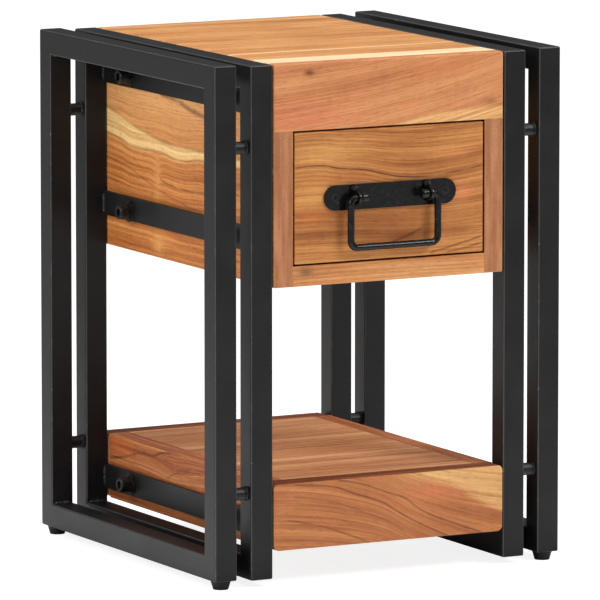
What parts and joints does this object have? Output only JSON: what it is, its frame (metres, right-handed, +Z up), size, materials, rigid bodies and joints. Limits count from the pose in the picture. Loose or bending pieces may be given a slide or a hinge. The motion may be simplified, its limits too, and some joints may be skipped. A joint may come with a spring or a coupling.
{
  "type": "side table with drawer",
  "caption": "Square side table: paired black steel tube frames hold a wooden drawer case above an open wooden shelf; the drawer has a drop handle.",
  "frame": {"origin": "middle of the footprint at floor level, handle included", "axes": "+X to the right seen from the front, +Y towards the back, +Z up; the drawer opens towards -Y"},
  "size_m": [0.4, 0.4174, 0.535],
  "materials": {
    "frame_paint": "satin black powder coat with fine orange peel",
    "bolt_black": "black oxide, slightly worn on the rims",
    "insert_brass": "plain",
    "glide_plastic": "matte black",
    "top_wood": "clear lacquered acacia, planks running left to right",
    "rail_wood": "clear lacquered acacia",
    "case_wood": "clear lacquered acacia",
    "hidden_wood": "unfinished",
    "drawer_front_wood": "clear lacquered acacia",
    "shelf_apron_wood": "clear lacquered acacia",
    "shelf_panel_wood": "clear lacquered acacia, planks running left to right",
    "handle_iron": "black wrought iron, rough"
  },
  "bodies": {
    "table": {"left_outer_front_leg": "frame_paint", "left_outer_back_leg": "frame_paint", "left_outer_top_rail": "frame_paint", "left_outer_bottom_rail": "frame_paint", "left_inner_front_leg": "frame_paint", "left_inner_back_leg": "frame_paint", "left_inner_top_rail": "frame_paint", "left_inner_bottom_rail": "frame_paint", "right_outer_front_leg": "frame_paint", "right_outer_back_leg": "frame_paint", "right_outer_top_rail": "frame_paint", "right_outer_bottom_rail": "frame_paint", "right_inner_front_leg": "frame_paint", "right_inner_back_leg": "frame_paint", "right_inner_top_rail": "frame_paint", "right_inner_bottom_rail": "frame_paint", "left_upper_strap": "frame_paint", "left_middle_strap": "frame_paint", "left_lower_strap": "frame_paint", "right_upper_strap": "frame_paint", "right_middle_strap": "frame_paint", "right_lower_strap": "frame_paint", "left_frame_spacers": "frame_paint", "right_frame_spacers": "frame_paint", "socket_bolts": "bolt_black", "spring_washers": "bolt_black", "flat_washers": "bolt_black", "threaded_inserts": "insert_brass", "front_left_glide": "glide_plastic", "front_right_glide": "glide_plastic", "back_left_glide": "glide_plastic", "back_right_glide": "glide_plastic", "case_top_panel": "top_wood", "case_front_rail": "rail_wood", "case_left_side": "case_wood", "case_right_side": "case_wood", "case_bottom_panel": "case_wood", "case_back_panel": "hidden_wood", "left_kicker": "hidden_wood", "right_kicker": "hidden_wood", "drawer_stop_bar": "hidden_wood", "shelf_front_apron": "shelf_apron_wood", "shelf_back_apron": "shelf_apron_wood", "shelf_left_apron": "shelf_apron_wood", "shelf_right_apron": "shelf_apron_wood", "shelf_panel": "shelf_panel_wood"},
    "drawer": {"drawer_left_side": "hidden_wood", "drawer_right_side": "hidden_wood", "drawer_back": "hidden_wood", "drawer_bottom": "hidden_wood", "drawer_front": "drawer_front_wood", "handle_plate": "handle_iron", "handle_lugs": "handle_iron", "handle_screws": "handle_iron"},
    "bail": {"handle_bail": "handle_iron"}
  },
  "joints": [
    {"name": "drawer_slide", "type": "slide", "parent": "table", "child": "drawer", "axis": [0, -1, 0], "range_m": [0, 0.235]},
    {"name": "bail_swing", "type": "hinge", "parent": "drawer", "child": "bail", "pos_m": [0, -0.20225, 0.394], "axis": [-1, 0, 0], "range_deg": [-7, 186]}
  ]
}
